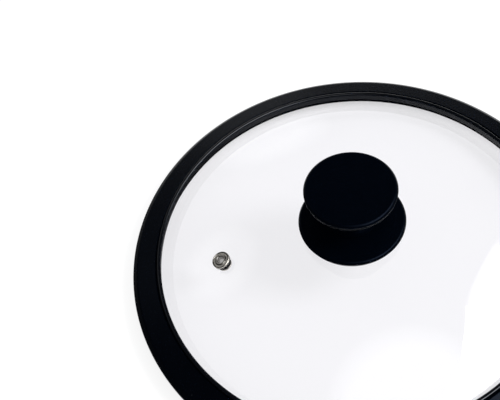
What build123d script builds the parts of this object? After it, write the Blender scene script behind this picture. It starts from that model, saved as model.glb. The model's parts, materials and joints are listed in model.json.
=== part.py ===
from build123d import *
from math import asin, degrees, sqrt
import os

# Glass pan lid: a domed tempered glass disc in a moulded silicone rim, a screwed-on spool knob
# and a riveted steam vent.
# Millimetres, +Z up. The origin is on the lid's axis, in the plane of the skirt's bottom edge,
# on which the lid stands. The steam vent is on the -X side.

# ---- Rim: overall size and section -----------------------------------------------------------
lid_radius = 126.0           # widest edge of the rim
seat_width = 6.6             # flange underside that lies on the pan, outside the skirt
skirt_depth = 8.5            # the skirt's bottom edge up to the flange underside
skirt_wall = 3.5
skirt_lead_in = 1.2          # bevel that guides the skirt into the pan
skirt_inner_bevel = 0.8
flange_edge = 2.6            # height of the rim's outer edge
flange_edge_round = 1.4      # upper side of that edge
flange_under_bevel = 0.9     # lower side
flange_rise = 6.4            # outer edge's top up to the inner end of the sloping upper face
flange_crown = 0.7           # how far that face bulges above a straight slope
crown_radius = 14.0          # the curve that blends the two slopes of the crowned face
groove_width = 1.2
groove_depth = 1.2           # below the flange's inner end
bead_width = 2.2             # the rounded bead inside the groove
bead_rise = 0.7              # above the flange's inner end
lip_overlap = 5.0            # how far the bead reaches over the glass
lip_undercut = 0.7           # how far the bead's wall leans back by the time it meets the glass
lower_lip_overlap = 2.8      # how far the lower lip reaches under the glass
lower_lip_thickness = 2.2

# ---- Glass -----------------------------------------------------------------------------------
glass_setback = 12.5         # from the rim's widest edge in to the glass's edge
glass_thickness = 4.0
glass_edge_height = 10.97    # the glass's upper edge above the skirt's bottom
dome_rise = 26.83            # upper edge of the glass up to the top of the dome
glass_edge_bevel = 0.8       # ground edge
centre_hole_radius = 4.0

# ---- Steam vent ------------------------------------------------------------------------------
vent_inset = 40.4            # from the glass's edge in to the vent's axis
vent_bore_radius = 2.0
eyelet_wall = 0.4
eyelet_flange_radius = 5.05
eyelet_flange_height = 1.3
eyelet_dish_depth = 0.4      # ring-shaped dish in the flange's upper face
eyelet_lip_width = 0.9       # raised lips inside and outside the dish
eyelet_flare_width = 0.9     # the barrel's end, rolled out under the washer
eyelet_flare_thickness = 0.5
vent_gasket_thickness = 0.9
vent_gasket_radius = 5.0
vent_backing_radius = 4.0    # grommet's flange and washer, under the glass
vent_sleeve_wall = 0.6       # grommet's sleeve between the barrel and the glass
vent_washer_thickness = 0.8

# ---- Knob ------------------------------------------------------------------------------------
disc_radius = 24.14          # flat top disc, at its widest
disc_edge = 4.5
disc_round = 1.3             # upper edge of the disc
disc_under_round = 0.8
disc_taper = 1.2             # the side leans in by this much towards its lower edge
knob_height = 30.2           # top of the dome up to the top of the knob
waist_radius = 10.5
under_slope = 2.0            # fall of the disc's underside from its edge to the stem
under_blend = 8.0            # curve from the disc's underside into the stem
foot_radius = 14.0
foot_height = 0.9            # upright edge of the stem's foot
foot_blend = 7.0
spigot_radius = 8.9          # centring spigot under the foot
spigot_depth = 1.5
spigot_bevel = 0.4

guard_radius = 28.7          # finger guard under the stem
guard_edge = 4.0
guard_top_round = 1.5
guard_under_round = 1.2
guard_lift = 0.4             # the guard's edge stands this far off the glass
guard_seat_height = 4.6      # top of the dome up to the face that carries the stem
knob_gasket_thickness = 1.2
knob_gasket_radius = 19.0

# ---- Knob fastening --------------------------------------------------------------------------
screw_radius = 2.5           # M5
screw_length = 25.0          # under the head
screw_head_radius = 4.75
screw_head_height = 3.2
screw_head_round = 1.8
screw_tip_bevel = 0.5
recess_depth = 1.8           # cross recess
recess_length = 5.0
recess_width = 1.1
insert_radius = 4.5
insert_length = 10.0
insert_groove_depth = 0.6    # waist that the moulding grips
insert_groove_width = 3.0
screw_relief = 1.2           # free depth in the stem above the screw's tip
screw_gasket_radius = 9.0
screw_gasket_thickness = 1.6
flat_washer_radius = 7.5
flat_washer_thickness = 1.2
spring_washer_radius = 4.6
spring_washer_thickness = 1.3
spring_washer_split = 0.9
spring_washer_slant = 30.0   # degrees

# ---- Clearances ------------------------------------------------------------------------------
seal_gap = 0.05              # rubber against the curved glass
sleeve_gap = 0.1             # rubber sleeves in their holes, and barrels in their sleeves
running_gap = 0.05           # screw in the insert's bore, on the radius
turning_gap = 0.1            # between the pieces that turn with the knob and the rest
bolt_gap = 0.3               # screw through the pieces that it only passes

# ---- Worked out from the above ---------------------------------------------------------------
skirt_outer = lid_radius - seat_width
skirt_inner = skirt_outer - skirt_wall
glass_radius = lid_radius - glass_setback
lip_inner = glass_radius - lip_overlap
groove_inner = lip_inner + bead_width
groove_outer = groove_inner + groove_width
lower_lip_inner = glass_radius - lower_lip_overlap
flange_outer_top = skirt_depth + flange_edge
flange_inner_top = flange_outer_top + flange_rise

sphere_radius = (glass_radius**2 + dome_rise**2) / (2 * dome_rise)
dome_top = glass_edge_height + dome_rise
sphere_centre = dome_top - sphere_radius
under_glass = dome_top - glass_thickness

guard_seat = dome_top + guard_seat_height
knob_top = dome_top + knob_height
gasket_face = under_glass - screw_gasket_thickness
washer_face = gasket_face - flat_washer_thickness
head_face = washer_face - spring_washer_thickness

vent_radius = glass_radius - vent_inset
vent_barrel_radius = vent_bore_radius + eyelet_wall
vent_sleeve_inner = vent_barrel_radius + sleeve_gap
vent_sleeve_outer = vent_sleeve_inner + vent_sleeve_wall
vent_hole_radius = vent_sleeve_outer + sleeve_gap


# ---- Shared shapes ---------------------------------------------------------------------------
def turned(*corners):
    """Revolves a closed outline about Z. A corner is (radius, height) or, if it is rounded,
    (radius, height, rounding)."""
    points = [(corner[0], corner[1]) for corner in corners]
    roundings = [corner[2] if len(corner) > 2 else 0 for corner in corners]
    with BuildPart() as piece:
        with BuildSketch(Plane.XZ):
            with BuildLine():
                FilletPolyline(*points, radius=roundings, close=True)
            make_face()
        revolve(axis=Axis.Z)
    return piece.part


def dome_height(radius, offset=0.0):
    """Height of the sphere that lies the offset outside the glass's upper face."""
    return sphere_centre + sqrt((sphere_radius + offset) ** 2 - radius**2)


def dome_ball(offset=0.0):
    """The sphere that lies the offset outside the glass's upper face. It is turned so that its
    seam and poles are off the lid."""
    return Pos(0, 0, sphere_centre) * Rot(90, 0, 0) * Sphere(sphere_radius + offset)


def upright(radius, low, high):
    """Round bar on the lid's axis, or the hole that it leaves when it is taken away."""
    return Pos(0, 0, low) * Cylinder(radius, high - low, align=(Align.CENTER, Align.CENTER, Align.MIN))


def under_dome(outer, bottom, offset):
    """Solid from a flat bottom up to the sphere at this offset from the glass's upper face. The
    bar reaches past the sphere, because a face that only touches its top is hard to cut."""
    return upright(outer, bottom, dome_top + offset + glass_thickness) & dome_ball(offset)


def dome_shell(outer, low, high):
    """Round sheet that follows the dome, between the offsets low and high from the glass."""
    return under_dome(outer, 0, high) - dome_ball(low)


# The vent's own frame: its origin is on the glass's upper face, its Z along the face's normal.
vent_tilt = degrees(asin(vent_radius / sphere_radius))
vent_place = Location((-vent_radius, 0, dome_height(vent_radius)), (0, -vent_tilt, 0))


# ---- Glass and rim ---------------------------------------------------------------------------
def make_glass_dome():
    """Tempered glass with an even wall, a bevelled edge and two drilled holes."""
    glass = dome_shell(glass_radius, -glass_thickness, 0)
    rim_edges = [edge for edge in glass.edges() if abs(edge.bounding_box().max.X - glass_radius) < 0.01]
    glass = chamfer(rim_edges, glass_edge_bevel)
    reach = 2 * glass_thickness
    glass -= upright(centre_hole_radius, dome_top - reach, dome_top + reach)
    glass -= vent_place * upright(vent_hole_radius, -reach, reach)
    return glass


def make_silicone_rim():
    """One moulding: flange, groove and bead above, skirt below, and a slot that grips the glass."""
    crown_at = (lid_radius + groove_outer) / 2
    crown_top = (flange_inner_top + flange_outer_top) / 2 + flange_crown
    lip_under = dome_height(lower_lip_inner, -glass_thickness) - lower_lip_thickness
    bead_top = flange_inner_top + bead_rise
    bead_round = 0.48 * bead_width
    lip_foot = lip_inner + lip_undercut
    section = turned(
        (lip_foot, dome_height(lip_foot, -glass_thickness / 2)),
        (lip_foot, dome_height(lip_foot)),
        (lip_inner, bead_top, bead_round),
        (groove_inner, bead_top, bead_round),
        ((groove_inner + groove_outer) / 2, flange_inner_top - groove_depth),
        (groove_outer, flange_inner_top),
        (crown_at, crown_top, crown_radius),
        (lid_radius, flange_outer_top, flange_edge_round),
        (lid_radius, skirt_depth + flange_under_bevel),
        (lid_radius - flange_under_bevel, skirt_depth),
        (skirt_outer, skirt_depth),
        (skirt_outer, skirt_lead_in),
        (skirt_outer - skirt_lead_in, 0),
        (skirt_inner + skirt_inner_bevel, 0),
        (skirt_inner, skirt_inner_bevel),
        (skirt_inner, lip_under - lower_lip_thickness / 2),
        (lower_lip_inner, lip_under),
        (lower_lip_inner, dome_height(lower_lip_inner, -glass_thickness / 2)),
    )
    return section - dome_shell(glass_radius + seal_gap, -glass_thickness - seal_gap, seal_gap)


# ---- Steam vent, each piece in the vent's own frame ------------------------------------------
inner_radius = sphere_radius - glass_thickness
glass_fall = inner_radius - sqrt(inner_radius**2 - vent_backing_radius**2)
grommet_top = -glass_thickness - glass_fall
grommet_bottom = grommet_top - vent_gasket_thickness
vent_washer_bottom = grommet_bottom - vent_washer_thickness


def make_vent_gasket():
    """Flat rubber ring between the eyelet's flange and the glass."""
    return turned(
        (vent_sleeve_inner, 0),
        (vent_gasket_radius, 0),
        (vent_gasket_radius, vent_gasket_thickness),
        (vent_sleeve_inner, vent_gasket_thickness),
    )


def make_vent_eyelet():
    """Pressed steel eyelet: dished flange with rolled lips, barrel, and an end flared below."""
    low = vent_gasket_thickness
    top = low + eyelet_flange_height
    dish = top - eyelet_dish_depth
    inner_lip = vent_bore_radius + eyelet_lip_width
    outer_lip = eyelet_flange_radius - eyelet_lip_width
    flare = vent_washer_bottom - eyelet_flare_thickness
    soft = eyelet_dish_depth / 2
    return turned(
        (vent_bore_radius, top, soft),
        (inner_lip, top),
        (inner_lip + soft, dish),
        (outer_lip - soft, dish),
        (outer_lip, top),
        (eyelet_flange_radius, top, 2 * soft),
        (eyelet_flange_radius, low),
        (vent_barrel_radius, low),
        (vent_barrel_radius, vent_washer_bottom),
        (vent_barrel_radius + eyelet_flare_width, vent_washer_bottom),
        (vent_barrel_radius + eyelet_flare_width, flare),
        (vent_barrel_radius, flare),
        (vent_bore_radius, vent_washer_bottom, eyelet_flare_thickness),
    )


def make_vent_grommet():
    """Top-hat rubber grommet: flange under the glass, sleeve up through its hole."""
    return turned(
        (vent_sleeve_inner, grommet_bottom),
        (vent_backing_radius, grommet_bottom),
        (vent_backing_radius, grommet_top),
        (vent_sleeve_outer, grommet_top),
        (vent_sleeve_outer, -sleeve_gap),
        (vent_sleeve_inner, -sleeve_gap),
    )


def make_vent_washer():
    """Steel backing ring that the eyelet's barrel is flared over."""
    return turned(
        (vent_sleeve_inner, vent_washer_bottom),
        (vent_backing_radius, vent_washer_bottom),
        (vent_backing_radius, grommet_bottom),
        (vent_sleeve_inner, grommet_bottom),
    )


# ---- Knob ------------------------------------------------------------------------------------
def make_insert_blank():
    """Outside of the brass insert, which is also the cavity that the stem is moulded round."""
    bottom = guard_seat + turning_gap - spigot_depth
    top = bottom + insert_length
    waist_low = (bottom + top - insert_groove_width) / 2
    waist_high = waist_low + insert_groove_width
    waist = insert_radius - insert_groove_depth
    return turned(
        (0, bottom),
        (insert_radius, bottom),
        (insert_radius, waist_low),
        (waist, waist_low),
        (waist, waist_high),
        (insert_radius, waist_high),
        (insert_radius, top),
        (0, top),
    )


def make_knob_insert():
    """Brass insert with a through bore for the screw."""
    return make_insert_blank() - upright(screw_radius + running_gap, 0, knob_top)


def make_knob_grip():
    """Moulded spool: flat disc, waisted stem, and a spigot that centres it on the guard."""
    seat = guard_seat + turning_gap
    disc_bottom = knob_top - disc_edge
    lean = disc_taper / disc_edge
    disc_corner = disc_radius + disc_round * (lean + sqrt(1 + lean**2) - 1)
    body = turned(
        (0, seat - spigot_depth),
        (spigot_radius - spigot_bevel, seat - spigot_depth),
        (spigot_radius, seat - spigot_depth + spigot_bevel),
        (spigot_radius, seat),
        (foot_radius, seat),
        (foot_radius, seat + foot_height),
        (waist_radius, seat + 2 * foot_height, foot_blend / 2),
        (waist_radius, disc_bottom - under_slope, under_blend),
        (disc_corner - disc_taper, disc_bottom, disc_under_round),
        (disc_corner, knob_top, disc_round),
        (0, knob_top),
    )
    screw_tip = head_face + screw_length
    return body - make_insert_blank() - upright(screw_radius + bolt_gap, seat, screw_tip + screw_relief)


def make_knob_base():
    """Finger guard: a shallow cone whose underside follows the dome and holds the gasket."""
    edge_low = dome_height(guard_radius, guard_lift)
    edge_top = edge_low + guard_edge
    pocket = guard_seat - spigot_depth - turning_gap
    block = turned(
        (screw_radius + bolt_gap, edge_low),
        (guard_radius, edge_low, guard_under_round),
        (guard_radius, edge_top, guard_top_round),
        (foot_radius, guard_seat),
        (spigot_radius + turning_gap, guard_seat),
        (spigot_radius + turning_gap, pocket),
        (screw_radius + bolt_gap, pocket),
    )
    guard = block - under_dome(2 * guard_radius, 0, guard_lift)
    return guard - dome_shell(knob_gasket_radius + bolt_gap, 0, knob_gasket_thickness + turning_gap)


def make_knob_gasket():
    """Silicone disc, curved to the glass, that the finger guard turns on."""
    sheet = dome_shell(knob_gasket_radius, seal_gap, knob_gasket_thickness)
    return sheet - upright(centre_hole_radius + bolt_gap, 0, knob_top)


# ---- Fastening under the glass ---------------------------------------------------------------
def make_screw_gasket():
    """Top-hat gasket: flange shaped to the glass's underside, sleeve up through the hole."""
    hole = screw_radius + bolt_gap
    flange = under_dome(screw_gasket_radius, gasket_face, -glass_thickness - seal_gap)
    sleeve_top = dome_top - sleeve_gap
    sleeve = upright(centre_hole_radius - sleeve_gap, gasket_face, sleeve_top)
    return flange + sleeve - upright(hole, 0, knob_top)


def make_flat_washer():
    """Plain steel washer."""
    return turned(
        (screw_radius + bolt_gap, washer_face),
        (flat_washer_radius, washer_face),
        (flat_washer_radius, gasket_face),
        (screw_radius + bolt_gap, gasket_face),
    )


def make_spring_washer():
    """Split spring washer, pressed flat, with its ends cut on a slant."""
    ring = turned(
        (screw_radius + bolt_gap / 2, head_face),
        (spring_washer_radius, head_face),
        (spring_washer_radius, washer_face),
        (screw_radius + bolt_gap / 2, washer_face),
    )
    split_radius = (screw_radius + spring_washer_radius) / 2
    split_height = (head_face + washer_face) / 2
    split = Box(spring_washer_radius, spring_washer_split, 4 * spring_washer_thickness)
    return ring - Location((split_radius, 0, split_height), (spring_washer_slant, 0, 0)) * split


def make_knob_screw():
    """Pan-head screw, head down, with a cross recess."""
    head_bottom = head_face - screw_head_height
    tip = head_face + screw_length
    screw = turned(
        (0, head_bottom),
        (screw_head_radius, head_bottom, screw_head_round),
        (screw_head_radius, head_face),
        (screw_radius, head_face),
        (screw_radius, tip - screw_tip_bevel),
        (screw_radius - screw_tip_bevel, tip),
        (0, tip),
    )
    for angle in (0, 90):
        screw -= Location((0, 0, head_bottom), (0, 0, angle)) * Box(
            recess_length, recess_width, 2 * recess_depth
        )
    return screw


# ---- One STEP file for each piece ------------------------------------------------------------
pieces = {
    "glass_dome": make_glass_dome(),
    "silicone_rim": make_silicone_rim(),
    "vent_gasket": vent_place * make_vent_gasket(),
    "vent_eyelet": vent_place * make_vent_eyelet(),
    "vent_grommet": vent_place * make_vent_grommet(),
    "vent_washer": vent_place * make_vent_washer(),
    "knob_grip": make_knob_grip(),
    "knob_insert": make_knob_insert(),
    "knob_base": make_knob_base(),
    "knob_gasket": make_knob_gasket(),
    "screw_gasket": make_screw_gasket(),
    "flat_washer": make_flat_washer(),
    "spring_washer": make_spring_washer(),
    "knob_screw": make_knob_screw(),
}

os.makedirs("parts", exist_ok=True)
for name, piece in pieces.items():
    export_step(piece, f"parts/{name}.step")
    print(f"{name}: {len(piece.solids())} solid, {piece.volume:.0f} mm3")
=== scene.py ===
# %% [markdown]
# # A domed glass pan lid
#
# The lid is a disc of tempered glass in a black silicone rim, with a spool-shaped knob on a
# finger guard and a riveted steam vent. The CAD model settles where every piece is and how it
# moves. This script gives each piece the surface that a hand would feel: soft moulded edges,
# a real thread on the screw, a knurl on the insert, and a finish worked out by shader nodes.

# %% Load the CAD frame
import json
from math import pi, radians

import bmesh
import bpy
import numpy as np
from mathutils import Matrix, Vector


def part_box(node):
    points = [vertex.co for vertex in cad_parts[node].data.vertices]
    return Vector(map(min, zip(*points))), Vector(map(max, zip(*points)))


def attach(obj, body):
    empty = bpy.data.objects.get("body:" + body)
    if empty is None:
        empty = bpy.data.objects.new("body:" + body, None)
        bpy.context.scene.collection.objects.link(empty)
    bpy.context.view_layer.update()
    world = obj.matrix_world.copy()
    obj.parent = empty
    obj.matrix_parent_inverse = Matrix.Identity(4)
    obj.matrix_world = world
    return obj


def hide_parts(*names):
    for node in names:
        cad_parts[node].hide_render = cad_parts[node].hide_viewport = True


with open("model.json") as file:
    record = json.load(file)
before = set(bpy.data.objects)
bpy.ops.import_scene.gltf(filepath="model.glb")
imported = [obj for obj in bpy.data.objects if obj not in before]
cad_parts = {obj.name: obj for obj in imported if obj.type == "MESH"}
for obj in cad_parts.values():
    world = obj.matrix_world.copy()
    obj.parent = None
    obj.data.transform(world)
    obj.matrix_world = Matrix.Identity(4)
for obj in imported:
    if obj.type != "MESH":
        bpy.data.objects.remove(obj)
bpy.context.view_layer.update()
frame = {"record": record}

# %% [markdown]
# ## Sizes
#
# Outlines are easiest to read in millimetres, so they are drawn in millimetres and scaled to
# metres when a mesh is made. What a piece spans comes from the frame. The wall thicknesses and
# small details that a box can't give are named here, once.

# %% What the frame gives
METRE = 0.001


def span(node):
    """Lowest and highest corner of a CAD node, in millimetres."""
    low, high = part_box(node)
    return np.array(low) / METRE, np.array(high) / METRE


lid_radius = span("silicone_rim")[1][0]
bead_top = span("silicone_rim")[1][2]
glass_radius = span("glass_dome")[1][0]
dome_top = span("glass_dome")[1][2]
guard_radius = span("knob_base")[1][0]
guard_seat = span("knob_base")[1][2]
disc_radius = span("knob_grip")[1][0]
knob_top = span("knob_grip")[1][2]
spigot_bottom = span("knob_grip")[0][2]
print(f"rim radius {lid_radius:.1f}, glass radius {glass_radius:.1f}, knob top {knob_top:.1f} mm")

# %% Walls and details that the frame's boxes can't give
glass_thickness = 4.0
dome_rise = 26.83            # upper edge of the glass up to the top of the dome
sphere_radius = (glass_radius**2 + dome_rise**2) / (2 * dome_rise)
sphere_centre = dome_top - sphere_radius
seal_gap = 0.05              # rubber against glass


def dome_height(radius, offset=0.0):
    """Height of the sphere that lies the offset outside the glass's upper face."""
    return sphere_centre + np.sqrt((sphere_radius + offset) ** 2 - radius**2)


print(f"the dome is part of a sphere of radius {sphere_radius:.1f} mm")

# %% [markdown]
# ## Turned outlines
#
# Nearly every piece of a lid is turned or moulded about an axis, so a piece is an outline in
# the (radius, height) plane, swept round. Real edges are never quite sharp, and it is the small
# round at an edge that catches the light. A Bevel modifier would give every edge the same round.
# Here an outline is given by its corners, each with its own rounding, and numpy works out the
# arcs. A narrow margin beside each arc keeps the flat faces flat when Blender blends the shading
# from face to face.

# %% Corners to arcs
def outline(*corners, steps=8, margin=0.12):
    """Closed outline as an array of (radius, height) points.

    A corner is (radius, height) or (radius, height, rounding). With half the angle between the
    corner's two sides, an arc that touches both begins rounding / tan(half) from the corner, and
    its centre is rounding / sin(half) away on the line that halves the angle. The margin is the
    width of the flat strip beside an arc.
    """
    corner = np.array([c[:2] for c in corners], float)
    rounding = np.array([c[2] if len(c) > 2 else 0.0 for c in corners])
    back = np.roll(corner, 1, axis=0) - corner
    ahead = np.roll(corner, -1, axis=0) - corner
    length_back = np.linalg.norm(back, axis=1)
    length_ahead = np.linalg.norm(ahead, axis=1)
    back = back / length_back[:, None]
    ahead = ahead / length_ahead[:, None]
    half = 0.5 * np.arccos(np.clip((back * ahead).sum(1), -1, 1))
    reach = rounding / np.tan(half)
    bisector = back + ahead
    bisector = bisector / np.maximum(np.linalg.norm(bisector, axis=1), 1e-9)[:, None]
    centre = corner + bisector * (rounding / np.sin(half))[:, None]
    start = corner + back * reach[:, None]
    end = corner + ahead * reach[:, None]
    first = np.arctan2(*(start - centre).T[::-1])
    last = np.arctan2(*(end - centre).T[::-1])
    sweep = (last - first + pi) % (2 * pi) - pi
    angle = first[:, None] + sweep[:, None] * np.linspace(0, 1, steps)
    arc = centre[:, None] + rounding[:, None, None] * np.stack((np.cos(angle), np.sin(angle)), -1)
    free_back = length_back - reach - np.roll(reach, 1)
    free_ahead = length_ahead - reach - np.roll(reach, -1)
    before = start + back * np.minimum(margin, 0.3 * free_back)[:, None]
    after = end + ahead * np.minimum(margin, 0.3 * free_ahead)[:, None]
    path = np.concatenate((before[:, None], arc, after[:, None]), axis=1).reshape(-1, 2)
    moved = np.linalg.norm(path - np.roll(path, 1, axis=0), axis=1) > 1e-5
    return path[moved]


print("a square with one round corner has", len(outline((0, 0), (9, 0), (9, 9, 2), (0, 9))), "points")

# %% [markdown]
# A turned surface is a function of two parameters: how far along the outline, and the angle
# round the axis. Both are whole arrays here, and `grid[i, j]` is the point at row i and column j.

# %% Turn, place and skin
def turned(path, columns):
    """Grid of points: the outline's radius turned to each angle, its height kept."""
    angle = 2 * pi * np.arange(columns) / columns
    radius, height = path[:, 0, None], path[:, 1, None]
    return np.stack((radius * np.cos(angle), radius * np.sin(angle), height + 0 * angle), -1)


def grid_faces(rows, columns):
    """Corner numbers of the four-sided faces of a grid that closes on itself both ways."""
    number = np.arange(rows * columns).reshape(rows, columns)
    below = np.roll(number, -1, axis=0)
    return np.stack((number, below, np.roll(below, -1, axis=1), np.roll(number, -1, axis=1)), -1)


def skin(name, points, faces=None, sharp=35.0):
    """Mesh object from millimetre points. Doubles at poles are merged and faces turned outwards;
    edges that bend more than the sharp angle stay crisp."""
    if faces is None:
        faces = grid_faces(*points.shape[:2]).reshape(-1, 4)
    mesh = bpy.data.meshes.new(name)
    mesh.from_pydata((points.reshape(-1, 3) * METRE).tolist(), [], faces.tolist())
    shape = bmesh.new()
    shape.from_mesh(mesh)
    bmesh.ops.remove_doubles(shape, verts=shape.verts, dist=2e-7)
    bmesh.ops.recalc_face_normals(shape, faces=shape.faces)
    shape.to_mesh(mesh)
    shape.free()
    mesh.polygons.foreach_set("use_smooth", np.ones(len(mesh.polygons), bool))
    mesh.set_sharp_from_angle(angle=radians(sharp))
    piece = bpy.data.objects.new(name, mesh)
    bpy.context.scene.collection.objects.link(piece)
    return piece


pieces = {}


def stand_for(piece, node):
    """Notes which CAD node a new piece stands for, and prints how closely their boxes agree."""
    pieces[node] = piece
    corners = np.array([vertex.co for vertex in piece.data.vertices]) / METRE
    low, high = span(node)
    off = max(abs(corners.min(0) - low).max(), abs(corners.max(0) - high).max())
    triangles = sum(len(face.vertices) - 2 for face in piece.data.polygons)
    print(f"{piece.name}: {triangles} triangles, within {off:.2f} mm of the box of {node}")


# %% [markdown]
# ## The glass
#
# The dome is flat glass sagged over a mould, an even 4 mm thick, with a ground edge. It is drawn
# as a real wall with two faces, because light bends as it enters and leaves: that is what moves
# the skirt seen through it. It has two drilled holes. The middle one is the inner end of the
# grid. The vent's hole lies off the axis. A Boolean could cut it, but it leaves long thin faces,
# and they show as creases in clear glass. So a square block of the grid's cells is left out
# there, and the cells around it are eased outwards into a circle.

# %% The vent's own frame
vent_mount = next(mount for mount in frame["record"]["mounts"] if mount["name"] == "vent_bore")
vent_normal = np.array(vent_mount["axis"], float)
vent_normal *= np.sign(vent_normal[2]) / np.linalg.norm(vent_normal)
vent_side = np.array((0.0, 1.0, 0.0))
vent_along = np.cross(vent_side, vent_normal)
sphere_point = np.array((0.0, 0.0, sphere_centre))
vent_origin = sphere_point + sphere_radius * vent_normal
print("vent at", vent_origin.round(2), "mm, normal", vent_normal.round(3))


def at_vent(points):
    """Carries points from the vent's frame, whose Z is the glass's normal, into the lid's."""
    return vent_origin + points @ np.stack((vent_along, vent_side, vent_normal))


# %% Rows of the glass, closest together round the vent
vent_hole_radius = 3.2
centre_hole_radius = 4.0
edge_bevel = 0.8
glass_columns = 384
inner_count = 22             # rows between the middle hole and the vent
outer_count = 12             # rows between the vent and the edge
block = 3                    # cells left out, each way from the vent's axis
ease = 9                     # cells over which the grid eases back to its own shape
vent_polar = np.arccos(vent_normal[2])
cell = 2 * pi / glass_columns * np.sin(vent_polar)
outer_polar = np.arcsin((glass_radius - edge_bevel) / sphere_radius)
near_vent = vent_polar + cell * np.arange(-ease - 1, ease + 2)
inner_rows = np.linspace(centre_hole_radius / sphere_radius, near_vent[0], inner_count)[:-1]
outer_rows = np.linspace(near_vent[-1], outer_polar, outer_count)[1:]
polar = np.concatenate((inner_rows, near_vent, outer_rows))
vent_row = len(inner_rows) + ease + 1
print(len(polar), "rows from the middle hole to the edge; the vent is on row", vent_row)


# %% Upper and lower face, joined at the edge
def dome_path(radius):
    """Outline points on a sphere: radius times the sine and cosine of the polar angle."""
    return np.stack((radius * np.sin(polar), sphere_centre + radius * np.cos(polar)), -1)


def eased_round_vent(grid, radius):
    """Opens a round hole in one face of the dome.

    With s the number of cells from the vent's axis, counted as the larger of rows and columns,
    a point's distance from the axis becomes hole radius * s / block on the hole's edge and
    blends back to its own distance where s reaches the ease. Its direction is kept, and it is
    put back on its sphere.
    """
    rows, columns = grid.shape[:2]
    row_gap = np.abs(np.arange(rows) - vent_row)[:, None]
    column_gap = np.abs(np.arange(columns) - columns // 2)[None]
    count = np.maximum(row_gap, column_gap)
    offset = grid - sphere_point
    along, side = offset @ vent_along, offset @ vent_side
    distance = np.maximum(np.hypot(along, side), 1e-9)
    share = np.clip((count - block) / (ease - block), 0, 1)
    wanted = (1 - share) * vent_hole_radius * count / block + share * distance
    scale = np.where(count < ease, wanted / distance, 1.0)
    along, side = along * scale, side * scale
    up = np.sqrt(radius**2 - along**2 - side**2)
    on_sphere = along[..., None] * vent_along + side[..., None] * vent_side
    on_sphere = sphere_point + on_sphere + up[..., None] * vent_normal
    return np.where((count < ease)[..., None], on_sphere, grid)


def block_border():
    """Row and column steps round the block's edge, in order."""
    run = np.arange(-block, block)
    side = np.full(2 * block, block)
    return (
        np.concatenate((-side, run, side, -run)),
        np.concatenate((run, side, -run, -side)),
    )


def make_glass():
    """Closed grid: underside outwards, ground edge, upper face inwards, middle hole's wall."""
    inner_radius = sphere_radius - glass_thickness
    under = eased_round_vent(turned(dome_path(inner_radius), glass_columns), inner_radius)
    over = eased_round_vent(turned(dome_path(sphere_radius), glass_columns), sphere_radius)
    edge_high = dome_height(glass_radius) - edge_bevel
    edge_low = dome_height(glass_radius, -glass_thickness) + edge_bevel
    under_corner = glass_radius - edge_bevel
    edge = np.array((
        (under_corner, dome_height(under_corner, -glass_thickness)),
        (glass_radius, edge_low),
        (glass_radius, edge_high),
    ))
    edge = turned(edge, glass_columns)
    grid = np.concatenate((under, edge, over[::-1]))
    faces = grid_faces(*grid.shape[:2])
    middle = glass_columns // 2
    over_row = len(grid) - 1 - vent_row
    open_columns = slice(middle - block, middle + block)
    keep = np.ones(faces.shape[:2], bool)
    keep[vent_row - block : vent_row + block, open_columns] = False
    keep[over_row - block : over_row + block, open_columns] = False
    row_step, column_step = block_border()
    lower = (vent_row + row_step) * glass_columns + middle + column_step
    upper = (over_row - row_step) * glass_columns + middle + column_step
    wall = np.stack((lower, np.roll(lower, -1), np.roll(upper, -1), upper), -1)
    return skin("tempered_glass", grid, np.concatenate((faces[keep], wall)))


stand_for(make_glass(), "glass_dome")

# %% [markdown]
# ## The silicone rim
#
# One soft moulding grips the glass in a slot. From outside in, its section is a crowned flange
# that slopes down and out, a narrow groove, and a round bead that ends in a lip on the glass.
# Below, a skirt with a lead-in bevel drops into the pan. A curve round the glass with a bevel
# object would draw it too, but then its slot wouldn't follow the dome's own formula. Silicone
# leaves the mould with small soft edges everywhere, so every corner gets a rounding of its own.

# %% Sizes of the rim
seat_width = 6.6             # what lies on the pan's brim
skirt_wall = 3.5
lead_in = 1.2                # bevel that guides the skirt into the pan
soft_edge = 0.8
flange_bottom = 8.5
flange_edge = 2.6            # height of the flange's outer edge
flange_fall = 0.352          # its drop for each millimetre outwards
crown_inset = 2.8            # where the slope turns over to the edge
lower_bevel = 0.9            # under the flange's outer edge
bead_width = 2.2
bead_height = 0.7            # above the flange beside it
groove_width = 1.2
groove_depth = 1.2
lip_overlap = 5.0
lower_lip_overlap = 2.8
lower_lip_thickness = 2.2
skirt_outer = lid_radius - seat_width
skirt_inner = skirt_outer - skirt_wall
flange_edge_top = flange_bottom + flange_edge
flange_inner_top = bead_top - bead_height
lip_inner = glass_radius - lip_overlap
lip_foot = lip_inner + 0.7
groove_inner = lip_inner + bead_width
groove_outer = groove_inner + groove_width
groove_bottom = flange_inner_top - groove_depth
lower_lip_inner = glass_radius - lower_lip_overlap
lower_lip_bottom = dome_height(lower_lip_inner, -glass_thickness) - lower_lip_thickness
crown_radius = lid_radius - crown_inset
crown_height = flange_inner_top - flange_fall * (crown_radius - groove_outer)
slot_radius = glass_radius + seal_gap
print(f"skirt {skirt_inner:.1f} to {skirt_outer:.1f} mm, groove from {groove_inner:.1f} mm")


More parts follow.
